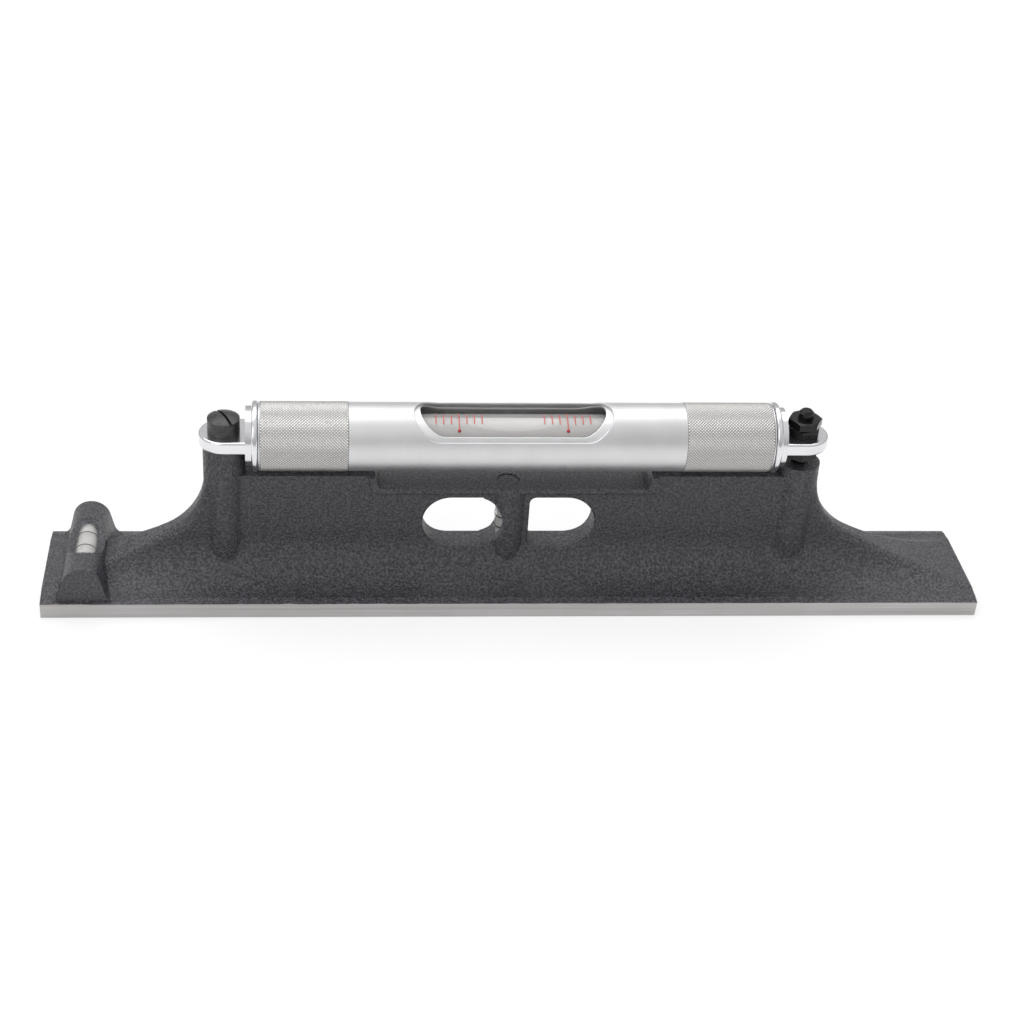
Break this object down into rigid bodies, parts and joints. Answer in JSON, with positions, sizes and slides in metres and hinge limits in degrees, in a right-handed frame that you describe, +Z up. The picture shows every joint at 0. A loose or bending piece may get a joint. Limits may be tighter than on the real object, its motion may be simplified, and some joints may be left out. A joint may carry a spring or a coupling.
{
  "type": "precision machinist level",
  "caption": "Machinist's spirit level: flanged cast base with web windows, tilting graduated vial tube under a turning knurled sleeve, and small cross and plumb vials.",
  "frame": {"origin": "centre of the sole, on the plane it rests on", "axes": "+X along the base towards the adjusting nuts, +Y towards the back, +Z up"},
  "size_m": [0.3048, 0.042, 0.0669],
  "materials": {
    "japanned_iron": "black crinkle paint over cast iron, bare ground sides and sole",
    "blackened_steel": "blackened, slightly glossy",
    "bright_plate": "bright plating, satin between the knurled bands",
    "satin_plate": "satin plating",
    "vial_glass": "clear ground glass",
    "spirit": "clear spirit",
    "plaster": "matt white setting plaster",
    "white_card": "matt white"
  },
  "bodies": {
    "base": {"base_casting": "japanned_iron", "pivot_screw": "blackened_steel", "adjusting_stud": "blackened_steel", "cross_vial_glass": "vial_glass", "cross_vial_spirit": "spirit", "cross_vial_plug": "japanned_iron", "plumb_vial_glass": "vial_glass", "plumb_vial_spirit": "spirit", "plumb_vial_plug": "japanned_iron"},
    "vial_tube": {"left_end_cap": "bright_plate", "right_end_cap": "bright_plate", "vial_carrier": "satin_plate", "main_vial_glass": "vial_glass", "main_vial_spirit": "spirit", "left_vial_packing": "plaster", "right_vial_packing": "plaster", "vial_backing": "white_card"},
    "sleeve": {"barrel_sleeve": "bright_plate"},
    "adjusting_nut": {"adjusting_nut": "blackened_steel"},
    "lock_nut": {"lock_nut": "blackened_steel"},
    "top_nut": {"top_nut": "blackened_steel"}
  },
  "joints": [
    {"name": "tube_tilt", "type": "hinge", "parent": "base", "child": "vial_tube", "pos_m": [-0.0935, 0, 0.0531], "axis": [0, -1, 0], "range_deg": [-0.18, 0.18]},
    {"name": "sleeve_turn", "type": "hinge", "parent": "vial_tube", "child": "sleeve", "pos_m": [-0.001, 0, 0.0555], "axis": [1, 0, 0], "continuous": true},
    {"name": "adjusting_nut_spin", "type": "hinge", "parent": "vial_tube", "child": "adjusting_nut", "pos_m": [0.0915, 0, 0.0512], "axis": [0, 0, 1], "range_deg": [-270, 270]},
    {"name": "lock_nut_spin", "type": "hinge", "parent": "vial_tube", "child": "lock_nut", "pos_m": [0.0915, 0, 0.0589], "axis": [0, 0, 1], "range_deg": [-270, 270]},
    {"name": "top_nut_spin", "type": "hinge", "parent": "vial_tube", "child": "top_nut", "pos_m": [0.0915, 0, 0.0616], "axis": [0, 0, 1], "range_deg": [-270, 270]}
  ],
  "couplings": [
    {"joint": "adjusting_nut_spin", "follows": "tube_tilt", "ratio": 1464},
    {"joint": "lock_nut_spin", "follows": "tube_tilt", "ratio": 1464},
    {"joint": "top_nut_spin", "follows": "tube_tilt", "ratio": 1464}
  ]
}
